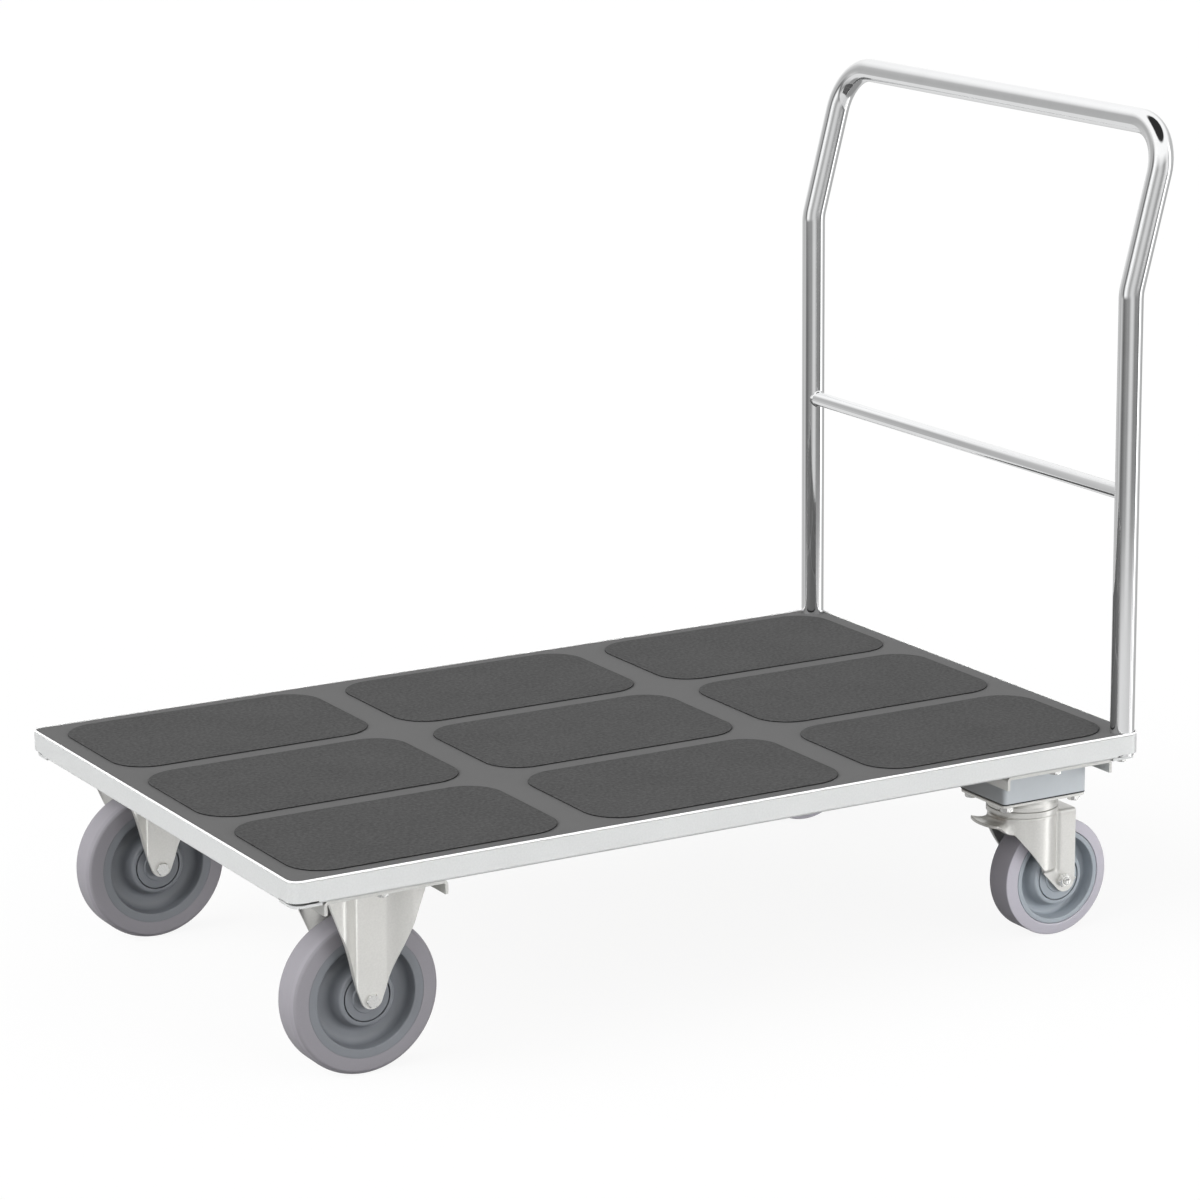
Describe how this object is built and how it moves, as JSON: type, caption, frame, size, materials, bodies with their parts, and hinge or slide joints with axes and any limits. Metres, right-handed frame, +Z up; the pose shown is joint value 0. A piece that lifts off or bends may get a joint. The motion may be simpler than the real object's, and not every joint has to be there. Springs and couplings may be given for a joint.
{
  "type": "luggage platform cart",
  "caption": "Flat luggage cart: zinc-rimmed deck with a rubber mat and raised grip panels, bent chrome push handle, fixed front casters and swivelling rear casters.",
  "frame": {"origin": "on the floor under the middle of the whole cart's box", "axes": "+X along the deck towards the push handle, +Y across the deck, +Z up"},
  "size_m": [1.2938, 0.79, 1.0925],
  "materials": {
    "rim_zinc": "bright zinc-plated sheet, fine grain",
    "board_ply": "raw plywood",
    "mat_rubber": "matt grey rubber sheet",
    "grip_rubber": "matt dark grey rubber, cloudy and finely textured",
    "channel_zinc": "pale coated pressed sheet",
    "handle_chrome": "polished chrome plating",
    "fastener_zinc": "zinc-plated steel",
    "fork_zinc": "zinc-plated pressed steel",
    "bearing_steel": "ground bearing steel",
    "wheel_plastic": "moulded blue-grey plastic",
    "front_tyre_rubber": "grey non-marking rubber",
    "rear_tyre_rubber": "pale grey non-marking rubber",
    "block_plastic": "satin blue-grey moulded block"
  },
  "bodies": {
    "chassis": {"deck_rim": "rim_zinc", "corner_gusset_front_left": "rim_zinc", "corner_gusset_front_right": "rim_zinc", "corner_gusset_rear_left": "rim_zinc", "corner_gusset_rear_right": "rim_zinc", "deck_board": "board_ply", "deck_mat": "mat_rubber", "grip_panel_front_left": "grip_rubber", "grip_panel_front_middle": "grip_rubber", "grip_panel_front_right": "grip_rubber", "grip_panel_middle_left": "grip_rubber", "grip_panel_middle_middle": "grip_rubber", "grip_panel_middle_right": "grip_rubber", "grip_panel_rear_left": "grip_rubber", "grip_panel_rear_middle": "grip_rubber", "grip_panel_rear_right": "grip_rubber", "front_channel": "channel_zinc", "rear_channel": "channel_zinc", "handle_tube": "handle_chrome", "handle_crossbar": "handle_chrome", "channel_screws": "fastener_zinc", "handle_bolts": "fastener_zinc", "fixed_plate_bolts": "fastener_zinc", "front_axle_nuts": "fastener_zinc", "swivel_plate_bolts": "fastener_zinc", "fixed_fork_left": "fork_zinc", "swivel_plate_left": "fork_zinc", "front_axle_left": "fastener_zinc", "kingpin_left": "fastener_zinc", "front_axle_sleeve_left": "bearing_steel", "swivel_balls_left": "bearing_steel", "spacer_block_left": "block_plastic", "fixed_fork_right": "fork_zinc", "swivel_plate_right": "fork_zinc", "front_axle_right": "fastener_zinc", "kingpin_right": "fastener_zinc", "front_axle_sleeve_right": "bearing_steel", "swivel_balls_right": "bearing_steel", "spacer_block_right": "block_plastic"},
    "front_wheel_left": {"front_wheel_centre_left": "wheel_plastic", "front_tyre_left": "front_tyre_rubber", "front_hub_covers_left": "wheel_plastic"},
    "swivel_left": {"swivel_fork_left": "fork_zinc", "rear_axle_left": "fastener_zinc", "rear_axle_nut_left": "fastener_zinc", "rear_axle_sleeve_left": "bearing_steel"},
    "rear_wheel_left": {"rear_wheel_centre_left": "wheel_plastic", "rear_tyre_left": "rear_tyre_rubber", "rear_hub_covers_left": "wheel_plastic"},
    "front_wheel_right": {"front_wheel_centre_right": "wheel_plastic", "front_tyre_right": "front_tyre_rubber", "front_hub_covers_right": "wheel_plastic"},
    "swivel_right": {"swivel_fork_right": "fork_zinc", "rear_axle_right": "fastener_zinc", "rear_axle_nut_right": "fastener_zinc", "rear_axle_sleeve_right": "bearing_steel"},
    "rear_wheel_right": {"rear_wheel_centre_right": "wheel_plastic", "rear_tyre_right": "rear_tyre_rubber", "rear_hub_covers_right": "wheel_plastic"}
  },
  "joints": [
    {"name": "front_wheel_left_spin", "type": "hinge", "parent": "chassis", "child": "front_wheel_left", "pos_m": [-0.51942, -0.3075, 0.1], "axis": [0, 1, 0], "continuous": true},
    {"name": "front_wheel_right_spin", "type": "hinge", "parent": "chassis", "child": "front_wheel_right", "pos_m": [-0.51942, 0.3075, 0.1], "axis": [0, 1, 0], "continuous": true},
    {"name": "swivel_left_turn", "type": "hinge", "parent": "chassis", "child": "swivel_left", "pos_m": [0.46558, -0.3075, 0.185], "axis": [0, 0, 1], "continuous": true},
    {"name": "swivel_right_turn", "type": "hinge", "parent": "chassis", "child": "swivel_right", "pos_m": [0.46558, 0.3075, 0.185], "axis": [0, 0, 1], "continuous": true},
    {"name": "rear_wheel_left_spin", "type": "hinge", "parent": "swivel_left", "child": "rear_wheel_left", "pos_m": [0.50808, -0.3075, 0.08], "axis": [0, 1, 0], "continuous": true},
    {"name": "rear_wheel_right_spin", "type": "hinge", "parent": "swivel_right", "child": "rear_wheel_right", "pos_m": [0.50808, 0.3075, 0.08], "axis": [0, 1, 0], "continuous": true}
  ]
}
